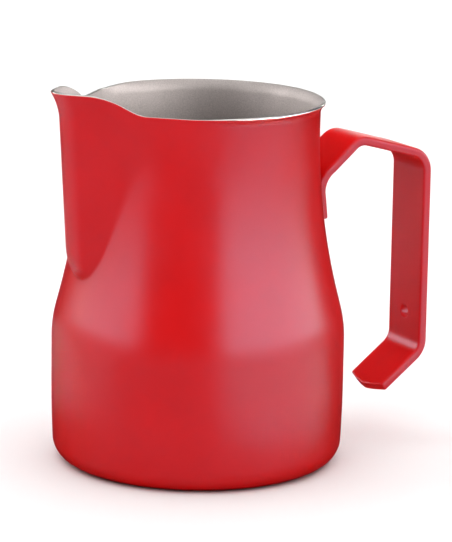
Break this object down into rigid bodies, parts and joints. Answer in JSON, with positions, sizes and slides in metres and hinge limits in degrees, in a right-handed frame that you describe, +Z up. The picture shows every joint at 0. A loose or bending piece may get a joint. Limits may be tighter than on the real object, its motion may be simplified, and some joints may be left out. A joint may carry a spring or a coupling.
{
  "type": "milk frothing pitcher",
  "caption": "Waisted steel milk pitcher with a pressed pouring spout, flared rim, satin red coating and a bent flat-bar handle, for steaming and pouring milk.",
  "frame": {"origin": "on the cup's axis, in the flat face it stands on", "axes": "+Z up, out of the cup's mouth; +X from the axis towards the handle, with the spout at -X; XZ is the plane of symmetry"},
  "size_m": [0.1199, 0.085, 0.1108],
  "materials": {
    "coated_steel": "satin red non-stick coating outside, bare matte stainless steel inside and along the rim's edge",
    "coated_bar": "satin red coating all over",
    "weld_metal": "grey fused steel, hidden between neck and handle"
  },
  "bodies": {
    "root": {"pitcher_body": "coated_steel", "handle_strap": "coated_bar", "weld_spot_left": "weld_metal", "weld_spot_right": "weld_metal"}
  },
  "joints": []
}
